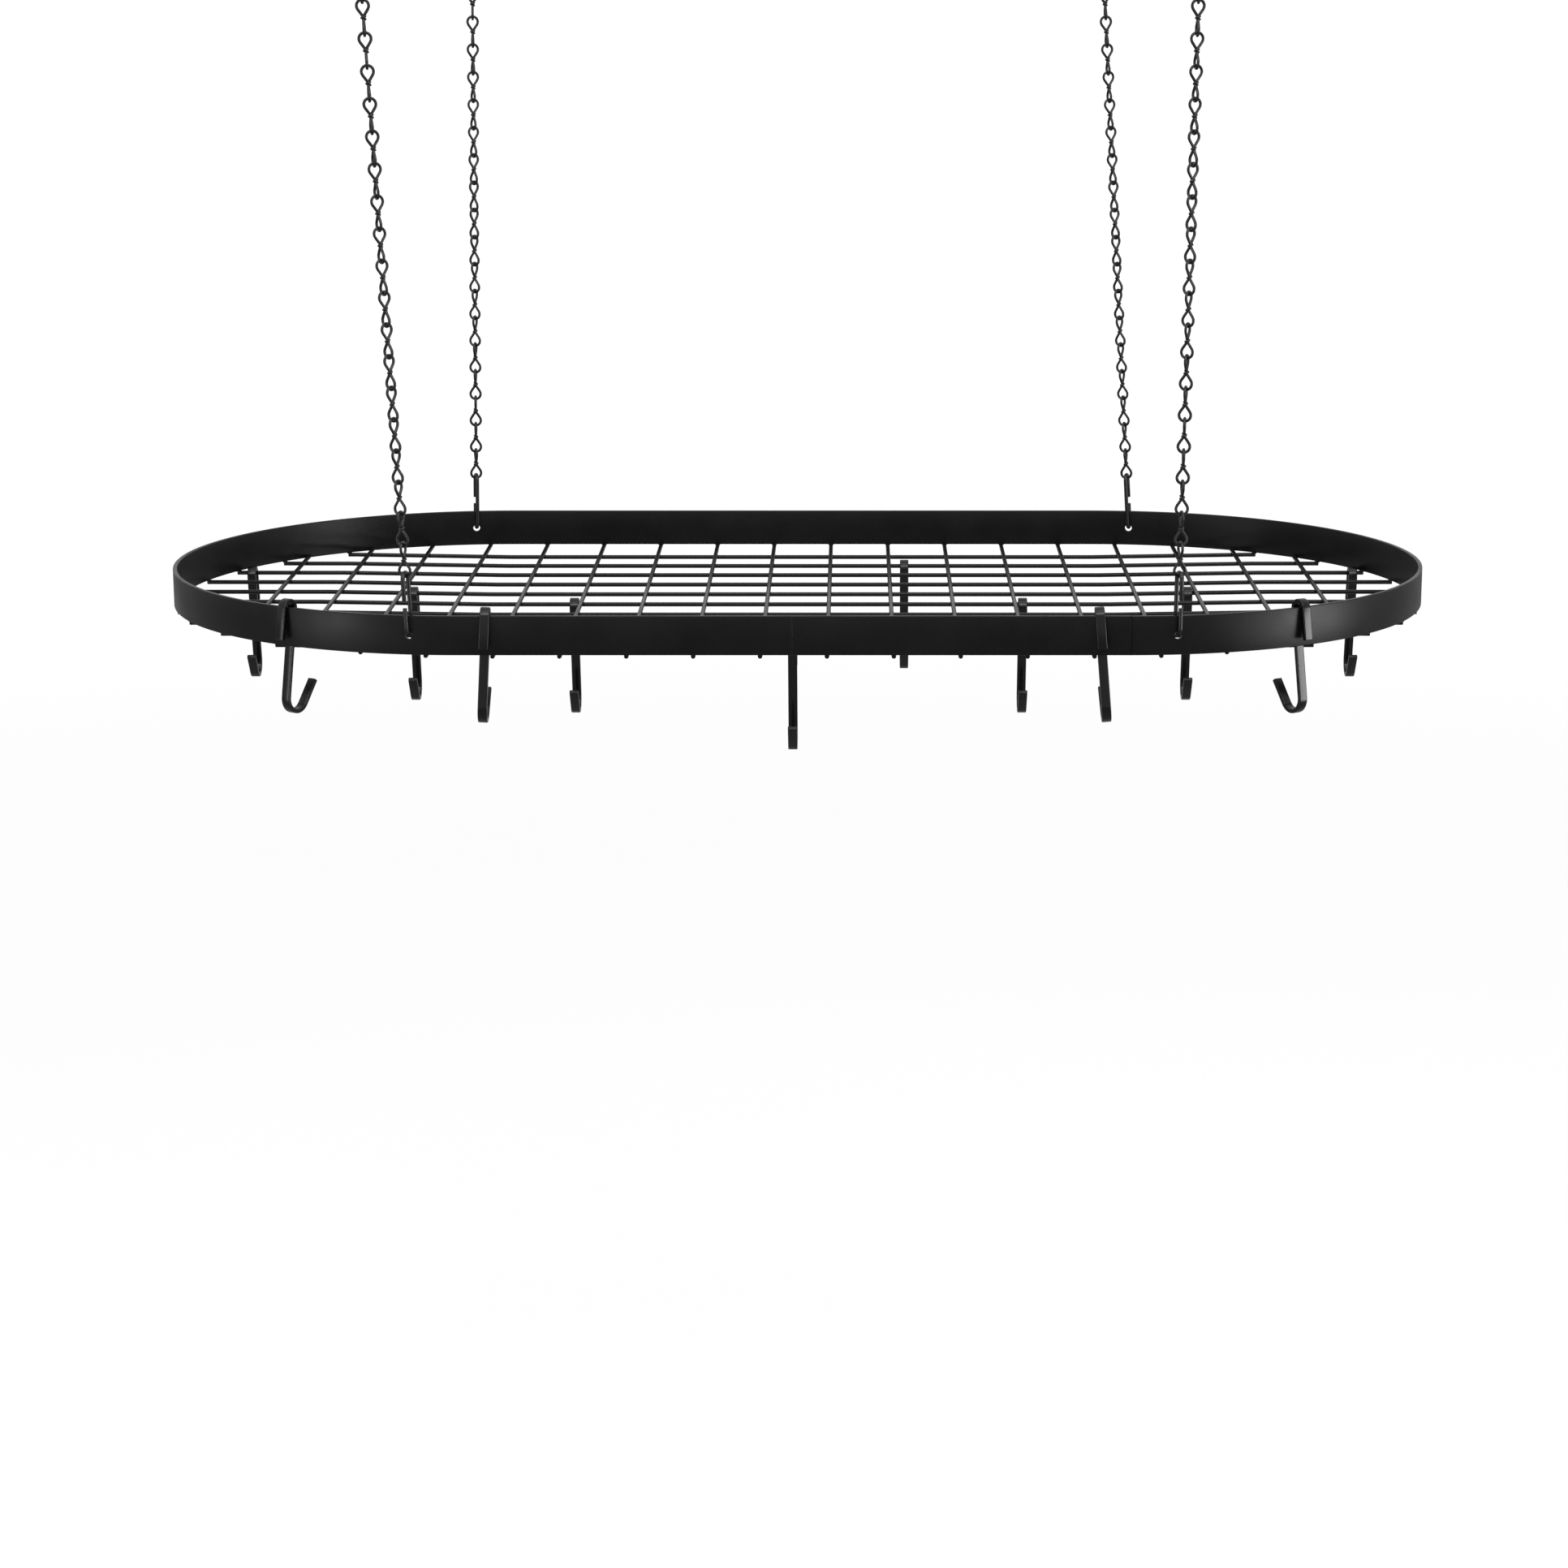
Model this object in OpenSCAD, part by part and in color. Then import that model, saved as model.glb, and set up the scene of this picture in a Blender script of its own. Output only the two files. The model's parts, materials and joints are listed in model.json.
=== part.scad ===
// Hanging pot rack: an oval flat-bar band with a welded wire grid under it, hung from the
// ceiling on four jack chains, with flat-bar S-hooks on the wires and on the band.
// +X runs along the rack, the viewer stands on the -Y side, and z = 0 is the ceiling.

/* [Band] */
// Length of the oval, outside to outside
band_length = 914; // [700:1:1100]
// Width of the oval, which is also the diameter of its round ends
band_width = 457; // [400:1:560]
// Height of the flat bar
band_height = 27; // [22:0.5:27]
// Thickness of the flat bar
band_thick = 3; // [2.5:0.1:3]

/* [Grid] */
// Diameter of the grid wires
wire_dia = 3.2; // [2.5:0.1:4]
// Number of wires that run along the rack
long_count = 10; // [10:1:10]
// Distance between the lengthwise wires
long_pitch = 41; // [38:0.5:41]
// Number of wires that run across the rack
cross_count = 18; // [18:1:18]
// Distance between the cross wires
cross_pitch = 45.3; // [45:0.1:45.6]
// How far two crossed wires sink into each other at a weld
weld_sink = 1; // [0.2:0.1:1]
// How far a wire sinks into the band's lower edge
rim_sink = 0.5; // [0.1:0.1:0.6]
// How far the grid bows up toward the round ends
end_rise = 1.9; // [0:0.1:2]
// Distance from the middle of the rack at which it has bowed up fully
rise_end = 350; // [300:5:355]

/* [Chains] */
// Number of links in each chain
link_count = 19; // [10:1:30]
// Distance from one link to the next, straight down
link_drop = 21; // [20:0.5:24]
// Wire diameter of the chain
link_wire = 2; // [1.8:0.1:2.2]
// Radius of a loop's round end, to the middle of its wire
loop_radius = 4; // [3.6:0.1:4.4]
// Distance of the chain holes from the middle of the rack, along its length
hole_x = 260; // [235:1:300]
// Diameter of the chain holes in the band
hole_dia = 5.4; // [5.4:0.1:8]

/* [Connectors] */
// Wire diameter of the open link between the chain and the band
connector_wire = 3; // [2.5:0.1:3.4]
// Overall length of the open link
connector_length = 45; // [40:1:60]
// Radius of its two bends, to the middle of the wire
connector_bend = 4.5; // [4.2:0.1:5.5]
// Gap in the side of the open link
connector_gap = 5; // [4:0.5:8]
// How far it stands turned past the direction of its hole
connector_turn = 8; // [0:1:12]

/* [Ceiling] */
// Place of the front left ceiling hook along the rack
ceiling_front_left = -279.5; // [-300:0.5:-240]
// Place of the front right ceiling hook along the rack
ceiling_front_right = 265; // [240:0.5:300]
// Place of the rear left ceiling hook along the rack
ceiling_rear_left = -253; // [-300:0.5:-240]
// Place of the rear right ceiling hook along the rack
ceiling_rear_right = 233; // [220:0.5:300]
// Wire diameter of a ceiling hook's bend
ceiling_wire = 4.5; // [4:0.1:5]
// Diameter of its screw
screw_dia = 5.2; // [5.1:0.1:6]
// Length of the screw's straight part, above the ceiling
screw_length = 24; // [15:1:40]
// Radius of the bend, to the middle of the wire
ceiling_bend = 9; // [8:0.5:12]

/* [Pot hooks] */
// Thickness of the flat bar
hook_thick = 3; // [2.5:0.1:3]
// Width of the flat bar
hook_width = 6.5; // [5:0.1:6.5]
// Space inside the upper bend
crown_gap = 7.5; // [7.5:0.1:8.5]
// Length of the short leg below the upper bend
leg_length = 22; // [16:1:26]
// Straight length between the two bends
shank_length = 66; // [50:0.5:80]
// The same on the hooks over the band
rim_shank_length = 61.5; // [50:0.5:80]
// Radius of the lower bend, to the middle of the bar
j_radius = 9.5; // [8:0.5:12]
// Straight length of the tip
tip_length = 19; // [12:1:24]
// How far the tip leans outward
tip_lean = 28; // [15:1:35]
// How far a hook on a wire tips back as it hangs, with its weight below the wire
wire_hook_lean = 11.2; // [8:0.1:14]
// How far a hook on the band tips back
rim_hook_lean = 9; // [3:0.5:9]
// How far the hook on the left of the band's front hangs over to the left
rim_tilt_left = 2.6; // [2.6:0.1:4.5]
// How far the one on the right hangs over to the right
rim_tilt_right = 4.5; // [4:0.1:4.5]
// Place of the hook on the left of the band's straight front
rim_hook_left_x = -208.3; // [-212:0.1:-208.3]
// Place of the one on the right
rim_hook_right_x = 207.2; // [207.2:0.1:212]
// Angle round the band's bend of the two hooks at its ends
rim_hook_turn = 31.8; // [31.5:0.1:32.1]

/* [Hidden] */
$fn = 48;
wire_r = wire_dia / 2;
end_radius = band_width / 2;
mid_radius = end_radius - band_thick / 2;
straight = band_length / 2 - end_radius;
play = 0.1;
seat_play = 0.2;

// Heights, counted down from the ceiling
shank_drop = 22;
link_r = link_wire / 2;
connector_r = connector_wire / 2;
ceiling_r = ceiling_wire / 2;
hang_z = -shank_drop - ceiling_bend;
top_link_z = ceiling_r + link_r + seat_play;
connector_straight = connector_length - 2 * connector_bend - connector_wire;
connector_top = connector_straight + connector_bend;
engage = connector_r + link_r + play;
chain_reach = (link_count - 1) * link_drop;
link_half = (link_drop + link_wire + play) / 2;
bend_z = hang_z + top_link_z - 2 * link_half - chain_reach + engage - connector_top;
hole_lift = hole_dia / 2 - seat_play
    + sqrt(pow(connector_bend - connector_r, 2) - pow(band_thick / 2, 2));
rack_z = bend_z - hole_lift;

// Heights of the grid, counted from the middle of the band
cross_z = -band_height / 2 - wire_r + rim_sink;
long_z = cross_z - wire_dia + weld_sink;
slope_run = rise_end - straight;
slope = atan2(end_rise, slope_run);

// The chain holes sit just past the start of the round ends
hole_turn = asin((hole_x - straight) / mid_radius);
hole_y = mid_radius * cos(hole_turn);

// Shape of the pot hooks
crown_in = crown_gap / 2;
crown_radius = crown_in + hook_thick / 2;

// A hook over the band leans until its bend rests on the band's outer top edge and its shank
// on the inner lower edge. Seen along the bar, a hook that tilts meets a slightly taller band.
seat_in = crown_in - play;
function seat_x(tilt) = seat_in - band_thick * cos(rim_hook_lean)
    - (band_height * cos(tilt) + hook_width * sin(abs(tilt))) * sin(rim_hook_lean);
function seat_z(tilt) = sqrt(pow(seat_in, 2) - pow(seat_x(tilt), 2));
function rim_in(tilt) = -band_thick / 2 - seat_x(tilt) * cos(rim_hook_lean)
    - seat_z(tilt) * sin(rim_hook_lean);
function rim_up(tilt) = band_height / 2 + hook_width / 2 * sin(abs(tilt))
    + seat_x(tilt) * sin(rim_hook_lean) - seat_z(tilt) * cos(rim_hook_lean);

// Each hook on a wire: place along the rack, and the number of its wire from the rear
wire_hook_places = [
    [-419.5, 2],
    [-286.5, 4],
    [-163.8, 5],
    [-2, 8],
    [80, 1],
    [164.5, 5],
    [289, 4],
    [422.5, 2]
];

// A node's number as two digits
function two_digits(n) = n < 10 ? str("0", n) : str(n);

// Half the length of an oval with round ends of that radius, at a distance y from its long axis
function reach_x(y, radius) = straight + sqrt(pow(radius, 2) - pow(y, 2));

// Half its width at a distance x from its short axis
function reach_y(x, radius) = abs(x) <= straight ? radius
    : sqrt(pow(radius, 2) - pow(abs(x) - straight, 2));

// Height of the grid at a distance x from the middle, above its height there
function rise(x) = end_rise * min(1, max(0, (abs(x) - straight) / slope_run));

function long_y(i) = long_pitch * ((long_count - 1) / 2 - i);
function cross_x(j) = cross_pitch * (j - (cross_count - 1) / 2);

// Part of a ring of round wire, standing in the XZ plane
module wire_arc(bend, r, start, sweep) {
    rotate([90, 0, 0])
        rotate([0, 0, start])
            rotate_extrude(angle = sweep)
                translate([bend, 0])
                    circle(r);
}

// Part of a ring of flat bar, standing in the XZ plane
module bar_arc(bend, start, sweep) {
    rotate([90, 0, 0])
        rotate([0, 0, start])
            rotate_extrude(angle = sweep)
                translate([bend, 0])
                    square([hook_thick, hook_width], center = true);
}

// The band as bent: two straight sides and two half rings
module band_bar() {
    for (side = [-1, 1]) {
        translate([-straight, side * mid_radius - band_thick / 2, -band_height / 2])
            cube([2 * straight, band_thick, band_height]);
        translate([side * straight, 0, 0])
            rotate([0, 0, -90 * side])
                rotate_extrude(angle = 180, $fn = 180)
                    translate([mid_radius, 0])
                        square([band_thick, band_height], center = true);
    }
}

module band() {
    color("#1b1b1d")
        translate([0, 0, rack_z])
            difference() {
                band_bar();
                for (side = [-1, 1])
                    for (face = [-1, 1])
                        translate([side * hole_x, face * hole_y, 0])
                            rotate([90, 0, side * face * -hole_turn])
                                cylinder(d = hole_dia, h = 4 * band_thick, center = true);
            }
}

// One end of a lengthwise wire: a long gentle slope, and a level end under the band's edge
module wire_end(run) {
    ease = 0.05;
    overlap = 0.3;
    translate([straight, 0, 0])
        rotate([0, 90 - slope, 0])
            translate([0, 0, -overlap])
                cylinder(r = wire_r - ease, h = norm([slope_run, end_rise]) + 2 * overlap);
    translate([rise_end, 0, end_rise])
        rotate([0, 90, 0])
            cylinder(r = wire_r, h = run - rise_end);
}

module long_wire(i) {
    outer_edge = abs(long_y(i)) < 110 ? mid_radius : mid_radius - 2;
    run = round(10 * reach_x(long_y(i), outer_edge)) / 10;
    color("#222224")
        translate([0, 0, rack_z])
            difference() {
                translate([0, long_y(i), long_z]) {
                    translate([-straight, 0, 0])
                        rotate([0, 90, 0])
                            cylinder(r = wire_r, h = 2 * straight);
                    for (turn = [0, 180])
                        rotate([0, 0, turn])
                            wire_end(run);
                }
                band_bar();
            }
}

// A cross wire lies on the lengthwise wires. Its ends are under the band's edge, and against
// the band's inner face where the grid has bowed up.
module cross_wire(j) {
    x = cross_x(j);
    outer_edge = abs(x) < 300 ? mid_radius : mid_radius - 1.2;
    reach = round(10 * reach_y(x, outer_edge)) / 10;
    color("#222224")
        translate([0, 0, rack_z])
            difference() {
                translate([x, reach, cross_z + rise(x)])
                    rotate([90, 0, 0])
                        cylinder(r = wire_r, h = 2 * reach);
                for (i = [0 : long_count - 1])
                    if (abs(long_y(i)) < reach)
                        translate([x - 4 * wire_r, long_y(i), long_z + rise(x)])
                            rotate([0, 90, 0])
                                cylinder(r = wire_r, h = 8 * wire_r);
                band_bar();
            }
}

// One teardrop loop of chain wire: a round end, and two legs that run into the link's twist
module chain_loop(reach) {
    half_angle = asin(loop_radius / (reach - 0.5));
    leg = loop_radius / tan(half_angle) - 0.6;
    translate([0, 0, reach]) {
        wire_arc(loop_radius, link_r, -half_angle, 180 + 2 * half_angle);
        for (side = [-1, 1])
            rotate([0, side * half_angle, 0])
                translate([side * loop_radius, 0, -leg])
                    cylinder(r = link_r, h = leg);
    }
}

// One link: two loops at right angles, twisted together in the middle
module chain_link(half_length) {
    twist_r = 1.7 * link_r;
    reach = half_length - loop_radius;
    chain_loop(reach);
    rotate([180, 0, 90])
        chain_loop(reach);
    cylinder(r = twist_r, h = 2 * twist_r, center = true);
}

// Frame of one chain: its origin is where it hangs on the ceiling hook, and -Z runs down to
// the band's hole, which may lie a little to one side
module along_chain(side, face, top_x) {
    lean = atan2(side * hole_x - top_x, hang_z - bend_z);
    translate([top_x, face * hole_y, hang_z])
        rotate([0, -lean, 0])
            children();
}

function chain_span(side, top_x) = norm([side * hole_x - top_x, hang_z - bend_z]);
function connector_yaw(side, face) = side * face * -(hole_turn + connector_turn);

module chain(side, face, top_x) {
    pitch = link_drop + (chain_span(side, top_x) - (hang_z - bend_z)) / (link_count - 1);
    half_length = (pitch + link_wire + play) / 2;
    turn = (90 + connector_yaw(side, face)) / (link_count - 1);
    color("#242426")
        along_chain(side, face, top_x)
            for (i = [0 : link_count - 1])
                translate([0, 0, top_link_z - half_length - i * pitch])
                    rotate([0, 0, i * turn])
                        chain_link(half_length);
}

// The open link that joins a chain to the band, its gap on the outside
module connector(side, face, top_x) {
    lower = (connector_straight - connector_gap) / 2;
    color("#1f1f21")
        along_chain(side, face, top_x)
            translate([0, 0, -chain_span(side, top_x)])
                rotate([0, 0, connector_yaw(side, face) + 90 * face]) {
                    wire_arc(connector_bend, connector_r, 180, 180);
                    translate([0, 0, connector_straight])
                        wire_arc(connector_bend, connector_r, 0, 180);
                    translate([-connector_bend, 0, 0])
                        cylinder(r = connector_r, h = connector_straight);
                    translate([connector_bend, 0, 0])
                        cylinder(r = connector_r, h = lower);
                    translate([connector_bend, 0, lower + connector_gap])
                        cylinder(r = connector_r, h = lower);
                }
}

// Screw hook: a pointed screw in the ceiling and a round bend below it
module ceiling_hook(face, top_x) {
    screw_r = screw_dia / 2;
    point_length = 6;
    point_r = 0.6;
    neck_r = ceiling_r + 0.1;
    inset = 0.25;
    color("#1f1f21")
        translate([top_x, face * hole_y, 0]) {
            cylinder(r = screw_r, h = screw_length);
            translate([0, 0, screw_length])
                cylinder(r1 = screw_r, r2 = point_r, h = point_length);
            translate([0, 0, -shank_drop + ceiling_bend - ceiling_r + inset])
                cylinder(r = neck_r, h = shank_drop - ceiling_bend + ceiling_r - inset);
            translate([0, 0, -shank_drop])
                rotate([0, 0, -90 * face])
                    wire_arc(ceiling_bend, ceiling_r, 90, 270);
        }
}

// Flat-bar S-hook in the XZ plane. Its origin is the middle of the upper bend, and the lower
// bend opens toward +X.
module pot_hook(shank) {
    tip_start = 360 - tip_lean;
    tip_ease = 0.05;
    tip_root = 0.4;
    j_x = crown_radius + j_radius;
    bar_arc(crown_radius, 0, 180);
    translate([crown_radius - hook_thick / 2, -hook_width / 2, -shank])
        cube([hook_thick, hook_width, shank]);
    translate([-crown_radius - hook_thick / 2, -hook_width / 2, -leg_length])
        cube([hook_thick, hook_width, leg_length]);
    translate([j_x, 0, -shank]) {
        bar_arc(j_radius, 180, tip_start - 180);
        rotate([0, tip_lean, 0])
            translate([j_radius - hook_thick / 2 + tip_ease, -hook_width / 2 + tip_ease, -tip_root])
                cube([hook_thick - 2 * tip_ease, hook_width - 2 * tip_ease, tip_length + tip_root]);
    }
}

// A hook that hangs on a lengthwise wire and opens toward the viewer
module wire_hook(k) {
    place = wire_hook_places[k];
    color("#19191b")
        translate([place[0], long_y(place[1]), rack_z + long_z + rise(place[0])])
            rotate([0, 0, -90])
                rotate([0, wire_hook_lean, 0])
                    translate([0, 0, -(crown_in - wire_r - play)])
                        pot_hook(shank_length);
}

// A hook over the band that opens inward, at a point x, y of the band's centre line
module rim_hook(x, y, heading, tilt) {
    color("#19191b")
        translate([x, y, rack_z])
            rotate([0, 0, heading])
                translate([rim_in(tilt), 0, rim_up(tilt)])
                    rotate([tilt, 0, 0])
                        rotate([0, rim_hook_lean, 0])
                            pot_hook(rim_shank_length);
}

module rim_hook_end(side) {
    rim_hook(side * (straight + mid_radius * sin(rim_hook_turn)),
        -mid_radius * cos(rim_hook_turn), 90 + side * rim_hook_turn, 0);
}

band();

for (i = [0 : long_count - 1])
    long_wire(i);

for (j = [0 : cross_count - 1])
    cross_wire(j);

chain(-1, -1, ceiling_front_left);  // chain_front_left
chain(1, -1, ceiling_front_right);  // chain_front_right
chain(-1, 1, ceiling_rear_left);  // chain_rear_left
chain(1, 1, ceiling_rear_right);  // chain_rear_right

connector(-1, -1, ceiling_front_left);  // connector_front_left
connector(1, -1, ceiling_front_right);  // connector_front_right
connector(-1, 1, ceiling_rear_left);  // connector_rear_left
connector(1, 1, ceiling_rear_right);  // connector_rear_right

ceiling_hook(-1, ceiling_front_left);  // ceiling_hook_front_left
ceiling_hook(-1, ceiling_front_right);  // ceiling_hook_front_right
ceiling_hook(1, ceiling_rear_left);  // ceiling_hook_rear_left
ceiling_hook(1, ceiling_rear_right);  // ceiling_hook_rear_right

for (k = [0 : len(wire_hook_places) - 1])
    wire_hook(k);

rim_hook_end(-1);  // rim_hook_left_end
rim_hook(rim_hook_left_x, -mid_radius, 90, rim_tilt_left);  // rim_hook_left
rim_hook(rim_hook_right_x, -mid_radius, 90, -rim_tilt_right);  // rim_hook_right
rim_hook_end(1);  // rim_hook_right_end
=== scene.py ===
import json
from math import acos, asin, atan2, cos, pi, radians, sin, sqrt, tan

import bmesh
import bpy
from mathutils import Matrix, Vector


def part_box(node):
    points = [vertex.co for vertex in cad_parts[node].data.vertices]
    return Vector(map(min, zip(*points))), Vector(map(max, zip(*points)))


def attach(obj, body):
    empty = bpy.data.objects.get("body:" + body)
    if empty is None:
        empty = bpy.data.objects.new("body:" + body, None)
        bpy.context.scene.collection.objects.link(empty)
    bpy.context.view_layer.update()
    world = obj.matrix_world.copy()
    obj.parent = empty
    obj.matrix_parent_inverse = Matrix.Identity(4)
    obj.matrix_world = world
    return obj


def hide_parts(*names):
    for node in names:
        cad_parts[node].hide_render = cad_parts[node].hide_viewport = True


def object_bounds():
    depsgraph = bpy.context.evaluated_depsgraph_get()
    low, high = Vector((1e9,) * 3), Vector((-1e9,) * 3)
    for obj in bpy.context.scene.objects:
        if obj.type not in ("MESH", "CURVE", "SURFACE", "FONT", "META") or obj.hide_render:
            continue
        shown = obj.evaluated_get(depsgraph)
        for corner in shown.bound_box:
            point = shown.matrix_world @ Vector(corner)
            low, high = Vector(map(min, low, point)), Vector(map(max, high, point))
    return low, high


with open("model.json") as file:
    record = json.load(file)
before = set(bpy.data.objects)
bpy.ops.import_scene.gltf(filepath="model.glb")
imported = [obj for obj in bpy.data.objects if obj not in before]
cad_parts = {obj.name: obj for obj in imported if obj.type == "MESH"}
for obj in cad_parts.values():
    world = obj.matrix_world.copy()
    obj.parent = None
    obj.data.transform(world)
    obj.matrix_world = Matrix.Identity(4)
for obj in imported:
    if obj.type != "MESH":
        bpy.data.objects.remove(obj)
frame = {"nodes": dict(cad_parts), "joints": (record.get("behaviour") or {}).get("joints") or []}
cad_bounds = [list(corner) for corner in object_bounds()]
joints = {joint["name"]: joint for joint in frame["joints"]}
mm = 0.001

# ---------------------------------------------------------------------------------------------
# The view: straight on from the front, a little above the band and looking 13 degrees down,
# with a long lens. The rack hangs over a plain pale floor in front of a white surround.

band_low, band_high = (Vector(corner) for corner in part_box("band"))
rack_z = (band_low.z + band_high.z) / 2

focal_length = 82.75
sideways_shift = -0.0443
eye_right = 0.0406
eye_back = 2.621
eye_above_rack = 0.4635
degrees_down = 13.318

lens = bpy.data.cameras.new("camera")
lens.sensor_width = 36
lens.lens = focal_length
lens.shift_x = sideways_shift
lens.clip_end = 500
camera = bpy.data.objects.new("camera", lens)
camera.location = (eye_right, -eye_back, rack_z + eye_above_rack)
camera.rotation_euler = (radians(90 - degrees_down), 0, 0)
bpy.context.scene.collection.objects.link(camera)
bpy.context.scene.camera = camera
bpy.context.scene.view_settings.view_transform = "Standard"

floor_drop = 0.62
floor_reach = 260
paper_grey = 0.72
paper_gloss_share = 0.1
fade_near, fade_far = 1.0, 7.0
glow_near, glow_far = 0.58, 0.8

bm = bmesh.new()
bmesh.ops.create_grid(bm, x_segments=1, y_segments=1, size=floor_reach)
bmesh.ops.translate(bm, verts=bm.verts, vec=(0, 0, cad_bounds[0][2] - floor_drop))
floor_mesh = bpy.data.meshes.new("floor")
bm.to_mesh(floor_mesh)
bm.free()
floor = bpy.data.objects.new("floor", floor_mesh)
bpy.context.scene.collection.objects.link(floor)

paper = bpy.data.materials.new("floor_paper")
paper.use_nodes = True
nodes, links = paper.node_tree.nodes, paper.node_tree.links
paper_shader = nodes["Principled BSDF"]
paper_shader.inputs["Base Color"].default_value = (paper_grey, paper_grey, paper_grey, 1)
paper_shader.inputs["Roughness"].default_value = 0.9
paper_shader.inputs["Specular IOR Level"].default_value = 0
paper_shader.inputs["Emission Color"].default_value = (1, 1, 1, 1)
paper_ray = nodes.new("ShaderNodeLightPath")
paper_seen = nodes.new("ShaderNodeMath")
paper_seen.operation = "MULTIPLY_ADD"
paper_seen.inputs[1].default_value = paper_gloss_share
paper_glow = nodes.new("ShaderNodeMath")
paper_glow.operation = "MULTIPLY"
paper_place = nodes.new("ShaderNodeTexCoord")
paper_distance = nodes.new("ShaderNodeVectorMath")
paper_distance.operation = "LENGTH"
paper_fade = nodes.new("ShaderNodeMapRange")
paper_fade.interpolation_type = "SMOOTHSTEP"
paper_fade.inputs["From Min"].default_value = fade_near
paper_fade.inputs["From Max"].default_value = fade_far
paper_fade.inputs["To Min"].default_value = glow_near
paper_fade.inputs["To Max"].default_value = glow_far
links.new(paper_place.outputs["Object"], paper_distance.inputs[0])
links.new(paper_distance.outputs["Value"], paper_fade.inputs["Value"])
links.new(paper_fade.outputs["Result"], paper_glow.inputs[1])
links.new(paper_ray.outputs["Is Glossy Ray"], paper_seen.inputs[0])
links.new(paper_ray.outputs["Is Camera Ray"], paper_seen.inputs[2])
links.new(paper_seen.outputs[0], paper_glow.inputs[0])
links.new(paper_glow.outputs[0], paper_shader.inputs["Emission Strength"])
floor.data.materials.append(paper)

surround_light = 0.42
surround_seen = 1.0

surround = bpy.data.worlds.new("surround")
surround.use_nodes = True
bpy.context.scene.world = surround
nodes, links = surround.node_tree.nodes, surround.node_tree.links
sky = nodes["Background"]
sky.inputs["Color"].default_value = (1, 1, 1, 1)
ray = nodes.new("ShaderNodeLightPath")
seen = nodes.new("ShaderNodeMath")
seen.operation = "MAXIMUM"
seen_through = nodes.new("ShaderNodeMath")
seen_through.operation = "MAXIMUM"
level = nodes.new("ShaderNodeMapRange")
level.inputs["To Min"].default_value = surround_light
level.inputs["To Max"].default_value = surround_seen
links.new(ray.outputs["Is Camera Ray"], seen.inputs[0])
links.new(ray.outputs["Is Glossy Ray"], seen.inputs[1])
links.new(seen.outputs[0], seen_through.inputs[0])
links.new(ray.outputs["Is Transmission Ray"], seen_through.inputs[1])
links.new(seen_through.outputs[0], level.inputs["Value"])
links.new(level.outputs["Result"], sky.inputs["Strength"])


def softbox(name, place, aim, width, height, power, lights_all=True):
    """A soft rectangular studio lamp at a place, turned to a point, or one only for gloss."""
    lamp = bpy.data.lights.new(name, "AREA")
    lamp.shape = "RECTANGLE"
    lamp.size = width
    lamp.size_y = height
    lamp.energy = power
    box = bpy.data.objects.new(name, lamp)
    box.location = place
    box.rotation_euler = (Vector(aim) - Vector(place)).to_track_quat("-Z", "Y").to_euler()
    box.visible_diffuse = lights_all
    bpy.context.scene.collection.objects.link(box)


rack_middle = (0, 0, rack_z)
softbox("softbox_above", place=(0.2, -0.9, 1.6), aim=rack_middle,
        width=2.4, height=1.8, power=24)
softbox("softbox_left", place=(-2.2, -1.7, rack_z - 0.5), aim=rack_middle,
        width=0.8, height=1.6, power=30, lights_all=False)
softbox("softbox_right", place=(2.6, -1.0, rack_z - 0.5), aim=rack_middle,
        width=1.5, height=1.6, power=90, lights_all=False)
softbox("softbox_strip", place=(0, -2.2, rack_z + 1.9), aim=rack_middle,
        width=3.0, height=0.35, power=48, lights_all=False)

# ---------------------------------------------------------------------------------------------
# The band is a flat steel bar, 27 by 3 mm, rolled into an oval and butt-welded at the middle of
# the front. Four holes are drilled through it for the chains, and then the whole rack is coated
# in satin black powder.

band_thick = 3 * mm
band_height = band_high.z - band_low.z
end_radius = (band_high.y - band_low.y) / 2
mid_radius = end_radius - band_thick / 2
straight = (band_high.x - band_low.x) / 2 - end_radius
chain_hole_x = 260 * mm
chain_hole_radius = 2.7 * mm
edge_round = 0.55 * mm
band_bend_steps = 144


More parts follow.
